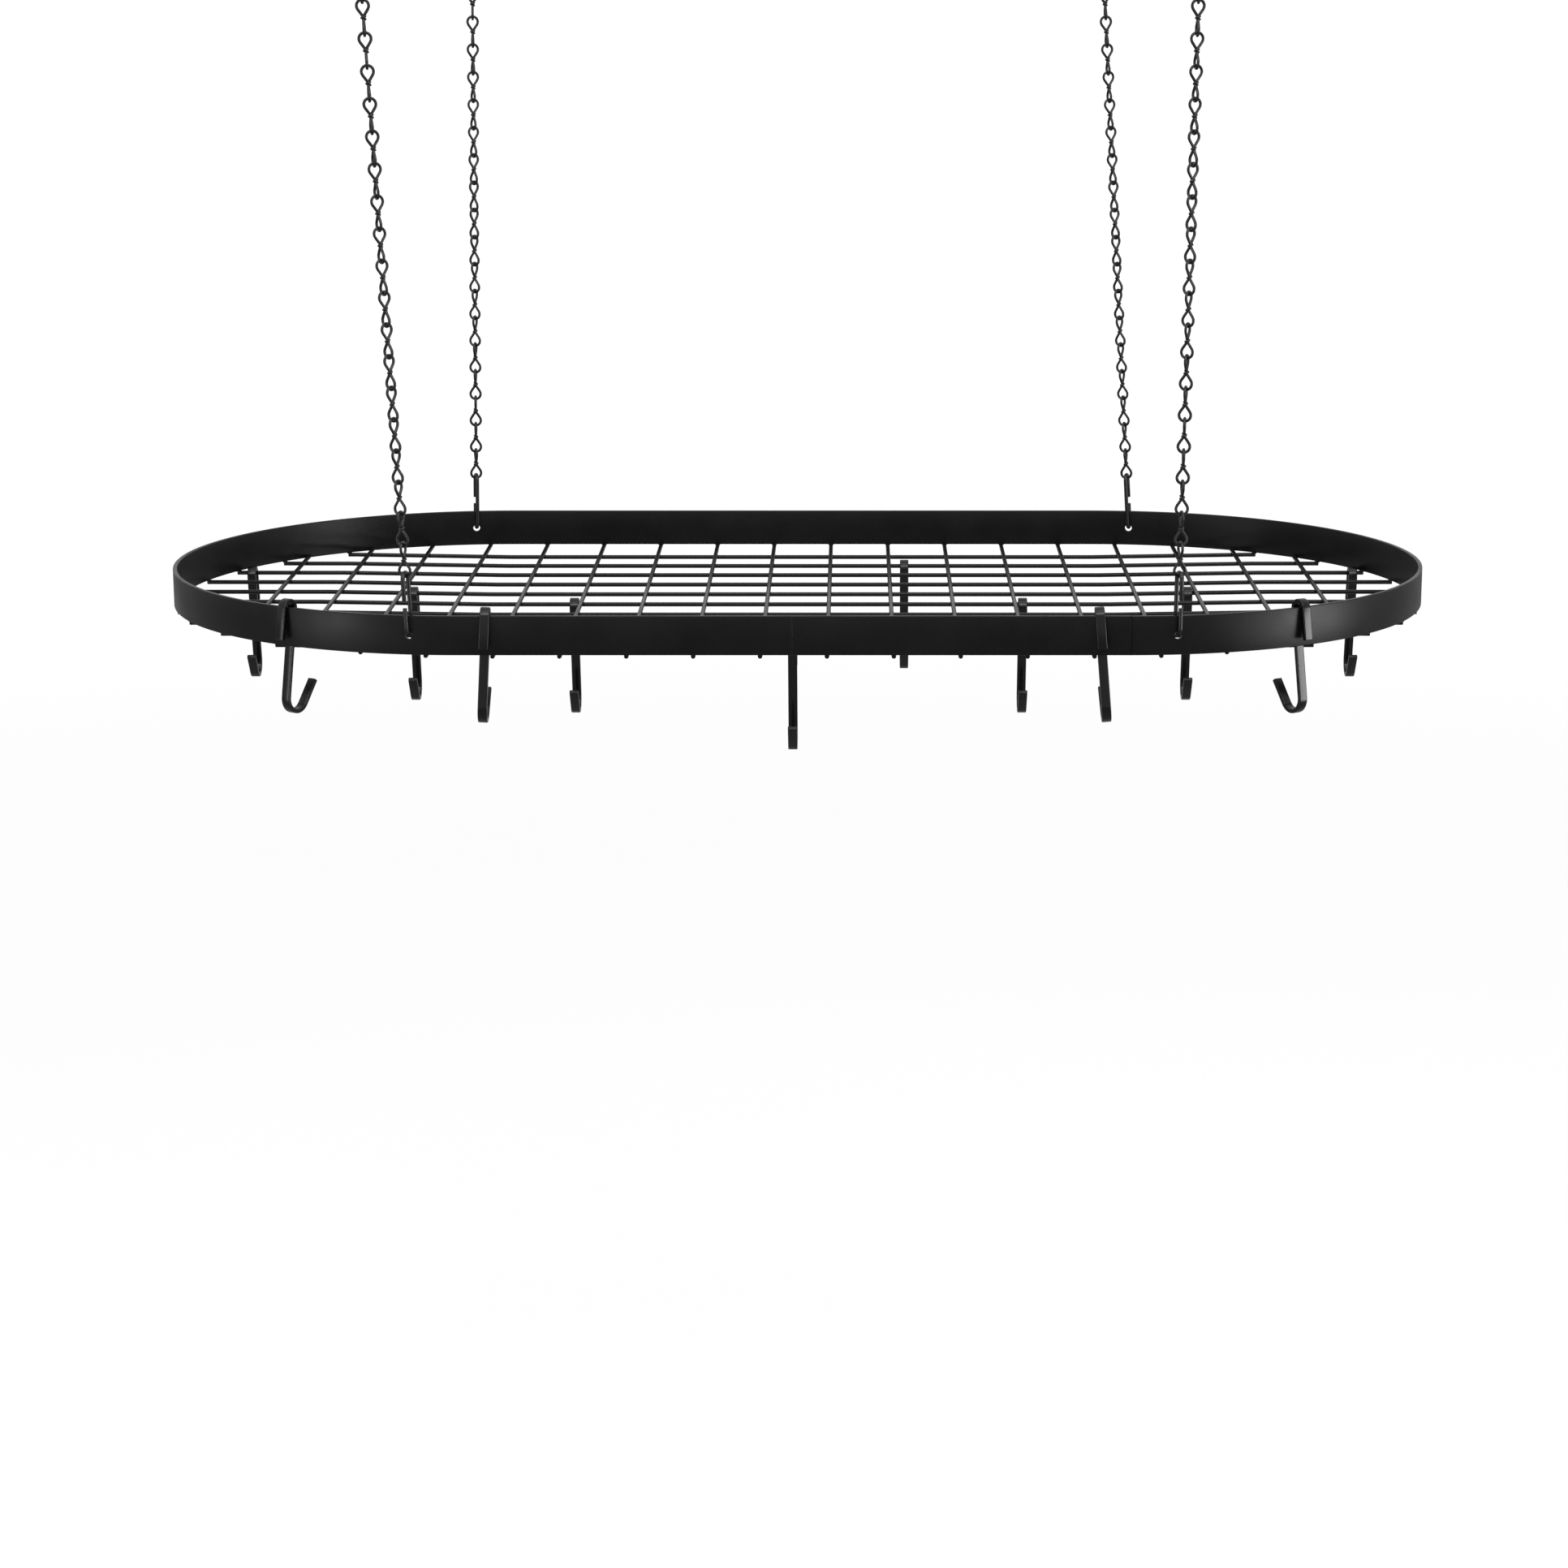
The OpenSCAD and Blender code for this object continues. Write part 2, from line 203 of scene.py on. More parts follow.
def new_powder_grain():
    """Node group for sprayed and baked powder: a fine orange peel, soft clouds and a few specks."""
    group = bpy.data.node_groups.new("powder_grain", "ShaderNodeTree")
    for label, kind in (("Position", "NodeSocketVector"),
                        ("Peel Per Metre", "NodeSocketFloat"),
                        ("Clouds Per Metre", "NodeSocketFloat"),
                        ("Speck Amount", "NodeSocketFloat"),
                        ("Smooth Roughness", "NodeSocketFloat"),
                        ("Dull Roughness", "NodeSocketFloat")):
        group.interface.new_socket(label, in_out="INPUT", socket_type=kind)
    for label in ("Tone", "Roughness", "Height"):
        group.interface.new_socket(label, in_out="OUTPUT", socket_type="NodeSocketFloat")
    nodes, links = group.nodes, group.links
    given = nodes.new("NodeGroupInput").outputs
    result = nodes.new("NodeGroupOutput").inputs

    peel = nodes.new("ShaderNodeTexNoise")
    peel.inputs["Detail"].default_value = 2
    links.new(given["Position"], peel.inputs["Vector"])
    links.new(given["Peel Per Metre"], peel.inputs["Scale"])

    clouds = nodes.new("ShaderNodeTexNoise")
    clouds.inputs["Detail"].default_value = 4
    clouds.inputs["Roughness"].default_value = 0.6
    links.new(given["Position"], clouds.inputs["Vector"])
    links.new(given["Clouds Per Metre"], clouds.inputs["Scale"])
    cloud_mask = nodes.new("ShaderNodeMapRange")
    cloud_mask.inputs["From Min"].default_value = 0.35
    cloud_mask.inputs["From Max"].default_value = 0.7
    links.new(clouds.outputs["Fac"], cloud_mask.inputs["Value"])

    specks = nodes.new("ShaderNodeTexVoronoi")
    specks.inputs["Scale"].default_value = 240
    links.new(given["Position"], specks.inputs["Vector"])
    speck_mask = nodes.new("ShaderNodeMapRange")
    speck_mask.inputs["From Min"].default_value = 0.1
    speck_mask.inputs["From Max"].default_value = 0.04
    links.new(specks.outputs["Distance"], speck_mask.inputs["Value"])
    speck_share = nodes.new("ShaderNodeMath")
    speck_share.operation = "MULTIPLY"
    links.new(speck_mask.outputs["Result"], speck_share.inputs[0])
    links.new(given["Speck Amount"], speck_share.inputs[1])

    tone = nodes.new("ShaderNodeMath")
    tone.operation = "MULTIPLY_ADD"
    tone.inputs[1].default_value = 0.7
    tone.use_clamp = True
    links.new(cloud_mask.outputs["Result"], tone.inputs[0])
    links.new(speck_share.outputs[0], tone.inputs[2])
    links.new(tone.outputs[0], result["Tone"])

    gloss = nodes.new("ShaderNodeMapRange")
    links.new(cloud_mask.outputs["Result"], gloss.inputs["Value"])
    links.new(given["Smooth Roughness"], gloss.inputs["To Min"])
    links.new(given["Dull Roughness"], gloss.inputs["To Max"])
    links.new(gloss.outputs["Result"], result["Roughness"])
    links.new(peel.outputs["Fac"], result["Height"])
    return group


powder_grain = new_powder_grain()


def powder_coat(name, deep, pale, smooth, dull, shine, peel_per_metre, peel_depth, specks=0.3):
    """Black powder coat, between a deep and a pale tone and a smooth and a dull roughness."""
    coat = bpy.data.materials.new(name)
    coat.use_nodes = True
    nodes, links = coat.node_tree.nodes, coat.node_tree.links
    shader = nodes["Principled BSDF"]
    shader.inputs["Specular IOR Level"].default_value = shine
    place = nodes.new("ShaderNodeTexCoord")
    grain = nodes.new("ShaderNodeGroup")
    grain.node_tree = powder_grain
    grain.inputs["Peel Per Metre"].default_value = peel_per_metre
    grain.inputs["Clouds Per Metre"].default_value = 18
    grain.inputs["Speck Amount"].default_value = specks
    grain.inputs["Smooth Roughness"].default_value = smooth
    grain.inputs["Dull Roughness"].default_value = dull
    links.new(place.outputs["Object"], grain.inputs["Position"])
    colour = nodes.new("ShaderNodeMix")
    colour.data_type = "RGBA"
    colour.inputs["A"].default_value = (*deep, 1)
    colour.inputs["B"].default_value = (*pale, 1)
    links.new(grain.outputs["Tone"], colour.inputs["Factor"])
    links.new(colour.outputs["Result"], shader.inputs["Base Color"])
    links.new(grain.outputs["Roughness"], shader.inputs["Roughness"])
    bump = nodes.new("ShaderNodeBump")
    bump.inputs["Strength"].default_value = 0.5
    bump.inputs["Distance"].default_value = peel_depth
    links.new(grain.outputs["Height"], bump.inputs["Height"])
    links.new(bump.outputs["Normal"], shader.inputs["Normal"])
    return coat


def bend(bm, rim, centre, axis, angle, steps, rise=(0, 0, 0)):
    """Sweeps an open rim round a centre and returns the rim at the far end."""
    corners = {corner for edge in rim for corner in edge.verts}
    swept = bmesh.ops.spin(bm, geom=list(corners) + list(rim), cent=centre, axis=axis,
                           dvec=Vector(rise) / steps, angle=angle, steps=steps, use_merge=False)
    return [part for part in swept["geom_last"] if isinstance(part, bmesh.types.BMEdge)]


def run(bm, rim, step):
    """Draws an open rim out in a straight line and returns the rim at the far end."""
    grown = bmesh.ops.extrude_edge_only(bm, edges=rim)["geom"]
    corners = {part for part in grown if isinstance(part, bmesh.types.BMVert)}
    bmesh.ops.translate(bm, verts=list(corners), vec=step)
    return [part for part in grown if isinstance(part, bmesh.types.BMEdge)
            and part.verts[0] in corners and part.verts[1] in corners]


def close_up(bm):
    """Merges doubled corners, caps open ends and turns every face outward."""
    bmesh.ops.remove_doubles(bm, verts=bm.verts, dist=0.002 * mm)
    open_edges = [edge for edge in bm.edges if edge.is_boundary]
    if open_edges:
        bmesh.ops.holes_fill(bm, edges=open_edges)
    bmesh.ops.recalc_face_normals(bm, faces=bm.faces)


def round_edges(bm, size, segments=2, sharper_than=50):
    """Rounds every edge whose faces meet at more than so many degrees."""
    sharp = [edge for edge in bm.edges
             if len(edge.link_faces) == 2 and edge.calc_face_angle(0) > radians(sharper_than)]
    bmesh.ops.bevel(bm, geom=sharp, offset=size, offset_type="OFFSET", segments=segments,
                    profile=0.5, affect="EDGES", material=-1, clamp_overlap=True)


def dress(bm, name, coat, body, nodes=(), smooth_to=35):
    """Makes a finished mesh into a piece that rides on a body and stands for CAD nodes."""
    mesh = bpy.data.meshes.new(name)
    bm.to_mesh(mesh)
    bm.free()
    mesh.shade_smooth()
    mesh.set_sharp_from_angle(angle=radians(smooth_to))
    mesh.materials.append(coat)
    piece = bpy.data.objects.new(name, mesh)
    bpy.context.scene.collection.objects.link(piece)
    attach(piece, body)
    if nodes:
        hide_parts(*nodes)
    return piece


band_coat = powder_coat("band_powder_coat", deep=(0.005, 0.005, 0.0055),
                        pale=(0.009, 0.009, 0.0097), smooth=0.32, dull=0.44, shine=0.15,
                        peel_per_metre=900, peel_depth=0.04 * mm)

bm = bmesh.new()
section = bmesh.ops.create_grid(bm, x_segments=1, y_segments=1, size=0.5)["verts"]
bmesh.ops.scale(bm, verts=section, vec=(band_height, band_thick, 1))
bmesh.ops.rotate(bm, verts=section, matrix=Matrix.Rotation(pi / 2, 3, "Y"))
bmesh.ops.translate(bm, verts=section, vec=(straight, -mid_radius, rack_z))
rim = list(bm.edges)
bmesh.ops.delete(bm, geom=list(bm.faces), context="FACES_ONLY")
rim = bend(bm, rim, (straight, 0, rack_z), (0, 0, 1), pi, band_bend_steps)
rim = run(bm, rim, (-2 * straight, 0, 0))
rim = bend(bm, rim, (-straight, 0, rack_z), (0, 0, 1), pi, band_bend_steps)
rim = run(bm, rim, (2 * straight, 0, 0))
close_up(bm)
round_edges(bm, edge_round, segments=3, sharper_than=60)

hole_turn = asin((chain_hole_x - straight) / mid_radius)
hole_y = mid_radius * cos(hole_turn)
drill = bmesh.new()
drill_sides = 64
drill_radius = chain_hole_radius / cos(pi / drill_sides)
deburr = 0.25 * mm
flare = 0.8 * mm
for side in (-1, 1):
    for face in (-1, 1):
        place = (Matrix.Translation((side * chain_hole_x, face * hole_y, rack_z))
                 @ Matrix.Rotation(-side * face * hole_turn, 4, "Z")
                 @ Matrix.Rotation(pi / 2, 4, "X"))
        before = set(drill.verts)
        outline = [drill.verts.new((x, 0, z)) for x, z in (
            (0, -band_thick / 2 - flare),
            (drill_radius + deburr + flare, -band_thick / 2 - flare),
            (drill_radius, -band_thick / 2 + deburr),
            (drill_radius, band_thick / 2 - deburr),
            (drill_radius + deburr + flare, band_thick / 2 + flare),
            (0, band_thick / 2 + flare))]
        edges = [drill.edges.new(pair) for pair in zip(outline, outline[1:])]
        bend(drill, edges, (0, 0, 0), (0, 0, 1), 2 * pi, drill_sides)
        made = [corner for corner in drill.verts if corner not in before]
        bmesh.ops.transform(drill, matrix=place, verts=made)
close_up(drill)
drill_mesh = bpy.data.meshes.new("drill")
drill.to_mesh(drill_mesh)
drill.free()
drill_object = bpy.data.objects.new("drill", drill_mesh)
bpy.context.scene.collection.objects.link(drill_object)

band = dress(bm, "band_bar", band_coat, "rack", ["band"])
drilling = band.modifiers.new("drilling", "BOOLEAN")
drilling.operation = "DIFFERENCE"
drilling.solver = "EXACT"
drilling.object = drill_object
drilled = bpy.data.meshes.new_from_object(
    band.evaluated_get(bpy.context.evaluated_depsgraph_get()))
band.modifiers.remove(drilling)
band.data = drilled
bpy.data.objects.remove(drill_object)

seam_x = -1.3 * mm
seam_width = 1.4 * mm
seam_proud = 0.2 * mm
seam_short = 1 * mm

bm = bmesh.new()
bmesh.ops.create_cube(bm, size=1, matrix=Matrix.Translation((seam_x, -mid_radius, rack_z))
                      @ Matrix.Diagonal((seam_width, band_thick + seam_proud,
                                         band_height - seam_short, 1)))
round_edges(bm, 0.4 * mm, segments=3)
dress(bm, "band_weld", band_coat, "rack", smooth_to=60)

# ---------------------------------------------------------------------------------------------
# The grid is ten wires along the rack and eighteen across it, 3.2 mm thick. The cross wires lie
# on the long ones, all are welded under the band, and the grid bows up a little at both ends.

wire_radius = 1.6 * mm
wire_sides = 12
wire_end_round = 0.3 * mm
rim_sink = 0.5 * mm
weld_sink = 1 * mm
end_rise = 1.9 * mm
rise_end = 350 * mm
cross_z = rack_z - band_height / 2 - wire_radius + rim_sink
long_z = cross_z - 2 * wire_radius + weld_sink


def rise(x):
    """Height of the grid at a distance x from the middle of the rack, above its height there."""
    return end_rise * min(1, max(0, (abs(x) - straight) / (rise_end - straight)))


wire_coat = powder_coat("wire_powder_coat", deep=(0.005, 0.005, 0.0055),
                        pale=(0.010, 0.010, 0.0105), smooth=0.25, dull=0.36, shine=0.16,
                        peel_per_metre=1100, peel_depth=0.03 * mm)


def round_rim(bm, radius, sides, place):
    """Starts a round wire: an open ring of edges that faces along +Z of its place."""
    ring = bmesh.ops.create_circle(bm, cap_ends=False, radius=radius, segments=sides, matrix=place)
    corners = set(ring["verts"])
    return [edge for edge in bm.edges if edge.verts[0] in corners and edge.verts[1] in corners]


def middle_y(node):
    """How far behind the middle of the rack a CAD piece has its own middle."""
    low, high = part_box(node)
    return (low[1] + high[1]) / 2


long_wires = sorted(name for name in frame["nodes"] if name.startswith("long_wire"))
cross_wires = sorted(name for name in frame["nodes"] if name.startswith("cross_wire"))

for wire in long_wires:
    y = middle_y(wire)
    half = (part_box(wire)[1][0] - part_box(wire)[0][0]) / 2
    bm = bmesh.new()
    start = Matrix.Translation((0, y, long_z)) @ Matrix.Rotation(pi / 2, 4, "Y")
    rim = round_rim(bm, wire_radius, wire_sides, start)
    rim = run(bm, rim, (straight, 0, 0))
    rim = run(bm, rim, (rise_end - straight, 0, end_rise))
    rim = run(bm, rim, (half - rise_end, 0, 0))
    other_half = bmesh.ops.duplicate(bm, geom=list(bm.verts) + list(bm.edges) + list(bm.faces))
    bmesh.ops.rotate(bm, cent=(0, y, 0), matrix=Matrix.Rotation(pi, 3, "Z"),
                     verts=[part for part in other_half["geom"]
                            if isinstance(part, bmesh.types.BMVert)])
    close_up(bm)
    round_edges(bm, wire_end_round, segments=2, sharper_than=70)
    dress(bm, wire + "_rod", wire_coat, "rack", [wire], smooth_to=50)

for wire in cross_wires:
    low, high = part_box(wire)
    x = (low[0] + high[0]) / 2
    bm = bmesh.new()
    start = (Matrix.Translation((x, low[1], cross_z + rise(x)))
             @ Matrix.Rotation(-pi / 2, 4, "X"))
    rim = round_rim(bm, wire_radius, wire_sides, start)
    run(bm, rim, (0, high[1] - low[1], 0))
    close_up(bm)
    round_edges(bm, wire_end_round, segments=2, sharper_than=70)
    dress(bm, wire + "_rod", wire_coat, "rack", [wire], smooth_to=50)

# The welds: a flat nugget where two wires cross, and a small bead where a wire meets the band.

nugget_size = (2.5 * mm, 2.5 * mm, 1.0 * mm)
bead_size = (2.3 * mm, 1.9 * mm, 0.9 * mm)
bead_in = 1.3 * mm
cross_bead_up = 1.1 * mm
long_bead_up = 1.2 * mm
clear_of_end = 8 * mm


def nugget(bm, place, size):
    """One low round lump of weld."""
    bmesh.ops.create_uvsphere(bm, u_segments=8, v_segments=5, radius=1,
                              matrix=place @ Matrix.Diagonal((*size, 1)))


bm = bmesh.new()
for cross in cross_wires:
    low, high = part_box(cross)
    x = (low[0] + high[0]) / 2
    for long in long_wires:
        y = middle_y(long)
        if abs(y) < high[1] - clear_of_end:
            middle = Vector((x, y, (cross_z + long_z) / 2 + rise(x)))
            nugget(bm, Matrix.Translation(middle), nugget_size)
    for face in (-1, 1):
        end = (x, face * (high[1] - bead_in), cross_z + rise(x) + cross_bead_up)
        nugget(bm, Matrix.Translation(end), bead_size)
for long in long_wires:
    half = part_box(long)[1][0]
    for side in (-1, 1):
        end = (side * (half - bead_in), middle_y(long), long_z + end_rise + long_bead_up)
        nugget(bm, Matrix.Translation(end), bead_size)
dress(bm, "grid_welds", wire_coat, "rack")

# ---------------------------------------------------------------------------------------------
# Each chain is double-loop jack chain: every link is one 2 mm wire bent into two loops at right
# angles, with its ends wrapped round the middle. Nineteen links reach from hook to band.

link_radius = 1 * mm
link_sides = 8
loop_radius = 4 * mm
loop_pinch = 0.5 * mm
loop_steps = 12
leg_short = 0.4 * mm
link_count = 19
link_play = 0.1 * mm
seat_play = 0.2 * mm
ceiling_wire_radius = 2.25 * mm
ceiling_bend = 9 * mm
connector_radius = 1.5 * mm
connector_bend = 4.5 * mm
connector_straight = 33 * mm
connector_turn = radians(8)
chain_coat = powder_coat("chain_powder_coat", deep=(0.006, 0.006, 0.006),
                         pale=(0.015, 0.015, 0.015), smooth=0.28, dull=0.45, shine=0.3,
                         peel_per_metre=1500, peel_depth=0.03 * mm)

corners_of_rack = ("front_left", "front_right", "rear_left", "rear_right")
bend_z = joints["rack_level"]["pos_m"][2]


def chain_ends(corner):
    """Where a chain hangs on its ceiling hook, and the middle of its open link's lower bend."""
    pivot = Vector(joints["swing_" + corner]["pos_m"])
    top = pivot - Vector((0, 0, ceiling_bend))
    side = 1 if corner.endswith("right") else -1
    return top, Vector((side * chain_hole_x, pivot.y, bend_z))


def chain_place(corner):
    """The chain's own frame: its origin on the ceiling hook and -Z down to the band."""
    top, foot = chain_ends(corner)
    lean = atan2(foot.x - top.x, top.z - foot.z)
    return Matrix.Translation(top) @ Matrix.Rotation(-lean, 4, "Y")


def open_link_yaw(corner):
    """How far the open link turns to pass through the band, a little askew in its hole."""
    side = 1 if corner.endswith("right") else -1
    face = 1 if corner.startswith("rear") else -1
    return -side * face * (hole_turn + connector_turn), face


def chain_loop(bm, half_length, place):
    """One teardrop loop: up one leg from the twist, round the end and back down."""
    reach = half_length - loop_radius
    half_angle = asin(loop_radius / (reach - loop_pinch))
    leg = loop_radius / tan(half_angle) - leg_short
    tilt = Matrix.Rotation(-half_angle, 4, "Y")
    foot = (Matrix.Translation((0, 0, reach)) @ tilt
            @ Matrix.Translation((-loop_radius, 0, -leg)))
    before = set(bm.verts)
    rim = round_rim(bm, link_radius, link_sides, foot)
    along = tilt.to_3x3() @ Vector((0, 0, leg))
    rim = run(bm, rim, along)
    rim = bend(bm, rim, (0, 0, reach), (0, 1, 0), pi + 2 * half_angle, loop_steps)
    run(bm, rim, Vector((along.x, 0, -along.z)))
    made = [corner for corner in bm.verts if corner not in before]
    bmesh.ops.transform(bm, matrix=place, verts=made)


def chain_twist(bm, place):
    """The wire's ends, wrapped once round the middle of the link."""
    climb = 2.2 * mm
    wrap = 1.25 * mm
    wrap_wire = 0.85 * link_radius
    wrap_turn = radians(420)
    wrap_steps = 14
    before = set(bm.verts)
    start = Matrix.Translation((wrap, 0, -climb / 2)) @ Matrix.Rotation(-pi / 2, 4, "X")
    rim = round_rim(bm, wrap_wire, link_sides, start)
    bend(bm, rim, (0, 0, 0), (0, 0, 1), wrap_turn, wrap_steps, rise=(0, 0, climb))
    made = [corner for corner in bm.verts if corner not in before]
    bmesh.ops.transform(bm, matrix=place, verts=made)


top_link_z = ceiling_wire_radius + link_radius + seat_play
hang_to_bend = chain_ends("front_left")[0].z - bend_z
link_drop = ((hang_to_bend + top_link_z - 2 * link_radius - link_play + connector_radius
              + link_radius + link_play - connector_straight - connector_bend) / link_count)

for corner in corners_of_rack:
    top, foot = chain_ends(corner)
    pitch = link_drop + ((foot - top).length - hang_to_bend) / (link_count - 1)
    half_length = (pitch + 2 * link_radius + link_play) / 2
    turn = (pi / 2 + open_link_yaw(corner)[0]) / (link_count - 1)
    bm = bmesh.new()
    for i in range(link_count):
        middle = (chain_place(corner)
                  @ Matrix.Translation((0, 0, top_link_z - half_length - i * pitch))
                  @ Matrix.Rotation(i * turn, 4, "Z"))
        chain_loop(bm, half_length, middle)
        chain_loop(bm, half_length,
                   middle @ Matrix.Rotation(pi, 4, "X") @ Matrix.Rotation(pi / 2, 4, "Z"))
        chain_twist(bm, middle)
    close_up(bm)
    dress(bm, "chain_links_" + corner, chain_coat, "chain_" + corner,
          ["chain_" + corner], smooth_to=60)

# ---------------------------------------------------------------------------------------------
# An open link joins each chain to the band: 3 mm wire bent to a long oval, 45 mm over all. Its
# lower bend passes through the hole in the band, and the gap in its side faces outward.

connector_gap = 5 * mm
connector_sides = 16
connector_end_round = 0.35 * mm
lower_bend_steps = 40
upper_bend_steps = 20

for corner in corners_of_rack:
    top, foot = chain_ends(corner)
    yaw, face = open_link_yaw(corner)
    side_length = (connector_straight - connector_gap) / 2
    bm = bmesh.new()
    start = (Matrix.Translation((connector_bend, 0, side_length)) @ Matrix.Rotation(pi, 4, "X"))
    rim = round_rim(bm, connector_radius, connector_sides, start)
    rim = run(bm, rim, (0, 0, -side_length))
    rim = bend(bm, rim, (0, 0, 0), (0, 1, 0), pi, lower_bend_steps)
    rim = run(bm, rim, (0, 0, connector_straight))
    rim = bend(bm, rim, (0, 0, connector_straight), (0, 1, 0), pi, upper_bend_steps)
    run(bm, rim, (0, 0, -side_length))
    close_up(bm)
    round_edges(bm, connector_end_round, segments=2, sharper_than=70)
    place = (chain_place(corner) @ Matrix.Translation((0, 0, -(foot - top).length))
             @ Matrix.Rotation(yaw + face * pi / 2, 4, "Z"))
    bmesh.ops.transform(bm, matrix=place, verts=bm.verts)
    dress(bm, "open_link_" + corner, chain_coat, "chain_" + corner,
          ["connector_" + corner], smooth_to=50)

# ---------------------------------------------------------------------------------------------
# The ceiling hooks are screw hooks of 4.5 mm wire. The thread and point go up into a joist, and
# the bend below carries the chain, with its mouth toward the middle of the rack.

neck_bend = 4 * mm
thread_core = 1.8 * mm
thread_radius = 2.6 * mm
thread_pitch = 2 * mm
thread_length = 24 * mm
point_length = 6 * mm
point_tip = 0.4 * mm
core_sink = 2 * mm
ridge_sink = 0.2 * mm
ridge_peak = 0.45 * thread_pitch
ridge_foot = 0.7 * thread_pitch
steps_per_turn = 14
ceiling_wire_sides = 16
ceiling_bend_steps = 40
neck_bend_steps = 10
ceiling_coat = powder_coat("ceiling_hook_powder_coat", deep=(0.009, 0.009, 0.009),
                           pale=(0.018, 0.018, 0.018), smooth=0.3, dull=0.42, shine=0.3,
                           peel_per_metre=1100, peel_depth=0.03 * mm)

for corner in corners_of_rack:
    pivot = Vector(joints["swing_" + corner]["pos_m"])
    face = 1 if corner.startswith("rear") else -1
    neck_turn = acos(-neck_bend / (ceiling_bend + neck_bend))
    neck_z = (ceiling_bend + neck_bend) * sin(neck_turn)
    bm = bmesh.new()
    rim = round_rim(bm, ceiling_wire_radius, ceiling_wire_sides,
                    Matrix.Translation((ceiling_bend, 0, 0)) @ Matrix.Rotation(pi, 4, "X"))
    rim = bend(bm, rim, (0, 0, 0), (0, 1, 0), 2 * pi - neck_turn, ceiling_bend_steps)
    rim = bend(bm, rim, (-neck_bend, 0, neck_z), (0, -1, 0), neck_turn, neck_bend_steps)
    run(bm, rim, (0, 0, -pivot.z - neck_z))
    close_up(bm)
    round_edges(bm, 0.6 * mm, segments=2, sharper_than=70)
    bmesh.ops.translate(bm, verts=bm.verts, vec=(0, 0, pivot.z))

    core = Matrix.Translation((0, 0, thread_length / 2 - core_sink / 2))
    bmesh.ops.create_cone(bm, cap_ends=True, segments=16, radius1=thread_core,
                          radius2=thread_core, depth=thread_length + core_sink, matrix=core)
    point = Matrix.Translation((0, 0, thread_length + point_length / 2))
    bmesh.ops.create_cone(bm, cap_ends=True, segments=16, radius1=thread_core,
                          radius2=point_tip, depth=point_length, matrix=point)
    ridge = [bm.verts.new(spot) for spot in (
        (thread_core - ridge_sink, 0, 0), (thread_radius, 0, ridge_peak),
        (thread_core - ridge_sink, 0, ridge_foot))]
    ridge_edges = [bm.edges.new((ridge[k], ridge[(k + 1) % 3])) for k in range(3)]
    turns = int(thread_length / thread_pitch)
    bend(bm, ridge_edges, (0, 0, 0), (0, 0, 1), 2 * pi * turns, steps_per_turn * turns,
         rise=(0, 0, thread_length - ridge_foot))
    close_up(bm)
    bmesh.ops.transform(bm, verts=bm.verts,
                        matrix=Matrix.Translation((pivot.x, pivot.y, 0))
                        @ Matrix.Rotation(-face * pi / 2, 4, "Z"))
    dress(bm, "screw_hook_" + corner, ceiling_coat, "ceiling",
          ["ceiling_hook_" + corner], smooth_to=50)

# ---------------------------------------------------------------------------------------------
# The pot hooks are S-hooks of flat bar, 6.5 by 3 mm, bent cold: a tight upper bend with a short
# leg, a straight shank and a wide lower bend with a flared tip. They are glossier than the rack.

hook_thick = 3 * mm
hook_width = 6.5 * mm
crown_in = 3.75 * mm
crown_radius = crown_in + hook_thick / 2
leg_length = 22 * mm
wire_hook_shank = 66 * mm
rim_hook_shank = 61.5 * mm
j_radius = 9.5 * mm
tip_length = 19 * mm
tip_lean = radians(28)
bar_round = 0.6 * mm
bar_bend_steps = 20
hook_coat = powder_coat("hook_powder_coat", deep=(0.004, 0.004, 0.004),
                        pale=(0.008, 0.008, 0.008), smooth=0.18, dull=0.28, shine=0.25,
                        peel_per_metre=1000, peel_depth=0.03 * mm, specks=0.15)


def pot_hook(name, place, shank, node):
    """One S-hook, from its tip to its short leg, with its origin in the upper bend's middle."""
    bm = bmesh.new()
    corners = bmesh.ops.create_grid(bm, x_segments=1, y_segments=1, size=0.5)["verts"]
    bmesh.ops.scale(bm, verts=corners, vec=(hook_thick, hook_width, 1))
    j_middle = Vector((crown_radius + j_radius, 0, -shank))
    lean = Matrix.Rotation(tip_lean, 4, "Y")
    start = Matrix.Translation(j_middle) @ lean @ Matrix.Translation((j_radius, 0, tip_length))
    bmesh.ops.transform(bm, matrix=start, verts=corners)
    rim = list(bm.edges)
    bmesh.ops.delete(bm, geom=list(bm.faces), context="FACES_ONLY")
    rim = run(bm, rim, lean.to_3x3() @ Vector((0, 0, -tip_length)))
    rim = bend(bm, rim, j_middle, (0, 1, 0), pi - tip_lean, bar_bend_steps)
    rim = run(bm, rim, (0, 0, shank))
    rim = bend(bm, rim, (0, 0, 0), (0, -1, 0), pi, bar_bend_steps)
    run(bm, rim, (0, 0, -leg_length))
    close_up(bm)
    round_edges(bm, bar_round, segments=3, sharper_than=60)
    bmesh.ops.transform(bm, matrix=place, verts=bm.verts)
    dress(bm, name, hook_coat, node, [node], smooth_to=40)


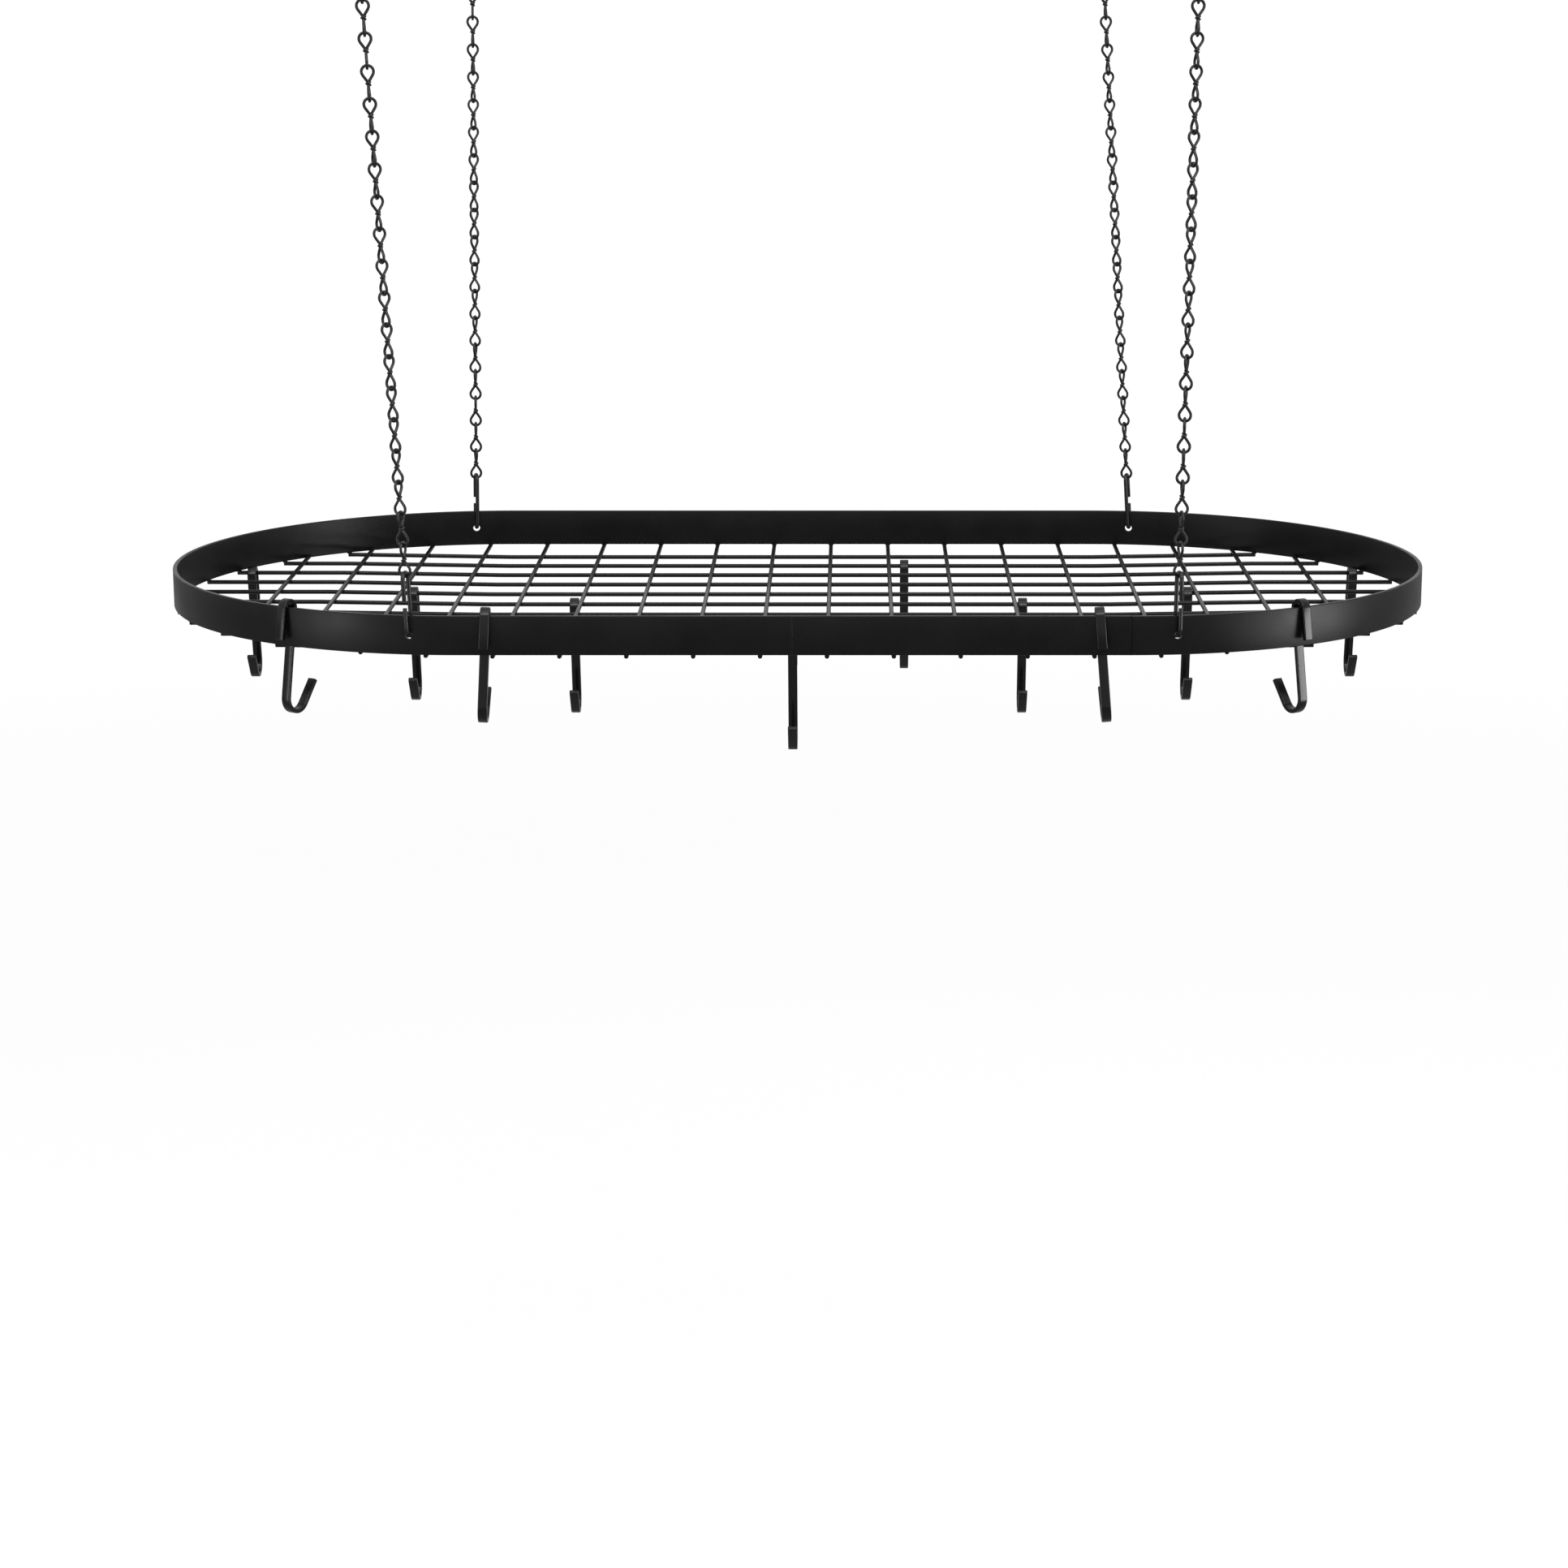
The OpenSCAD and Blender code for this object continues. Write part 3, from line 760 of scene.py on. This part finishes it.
wire_hook_lean = radians(11.2)
wire_hook_wires = (2, 4, 5, 8, 1, 5, 4, 2)
hook_play = 0.1 * mm

for number, wire in enumerate(wire_hook_wires, start=1):
    node = f"wire_hook_{number:02d}"
    low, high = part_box(node)
    x = (low[0] + high[0]) / 2
    place = (Matrix.Translation((x, middle_y(long_wires[wire]), long_z + rise(x)))
             @ Matrix.Rotation(-pi / 2, 4, "Z") @ Matrix.Rotation(wire_hook_lean, 4, "Y")
             @ Matrix.Translation((0, 0, -(crown_in - wire_radius - hook_play))))
    pot_hook(f"pot_hook_wire_{number:02d}", place, wire_hook_shank, node)

# A hook over the band leans until its bend rests on the outer top edge and its shank on the
# inner lower edge. The two on the straight front also hang over a little to the sides.

rim_hook_lean = radians(9)
rim_hook_turn = radians(31.8)
seat_in = crown_in - hook_play
rim_hook_spots = {
    "rim_hook_left_end": (-(straight + mid_radius * sin(rim_hook_turn)), -rim_hook_turn, 0),
    "rim_hook_left": (-208.3 * mm, 0, radians(2.6)),
    "rim_hook_right": (207.2 * mm, 0, radians(-4.5)),
    "rim_hook_right_end": (straight + mid_radius * sin(rim_hook_turn), rim_hook_turn, 0),
}
for node, (x, turn, tilt) in rim_hook_spots.items():
    bar_height = band_height * cos(tilt) + hook_width * sin(abs(tilt))
    seat_x = seat_in - band_thick * cos(rim_hook_lean) - bar_height * sin(rim_hook_lean)
    seat_z = sqrt(seat_in ** 2 - seat_x ** 2)
    rim_in = -band_thick / 2 - seat_x * cos(rim_hook_lean) - seat_z * sin(rim_hook_lean)
    rim_up = (band_height / 2 + hook_width / 2 * sin(abs(tilt))
              + seat_x * sin(rim_hook_lean) - seat_z * cos(rim_hook_lean))
    place = (Matrix.Translation((x, -mid_radius * cos(turn), rack_z))
             @ Matrix.Rotation(pi / 2 + turn, 4, "Z") @ Matrix.Translation((rim_in, 0, rim_up))
             @ Matrix.Rotation(tilt, 4, "X") @ Matrix.Rotation(rim_hook_lean, 4, "Y"))
    pot_hook("pot_" + node, place, rim_hook_shank, node)
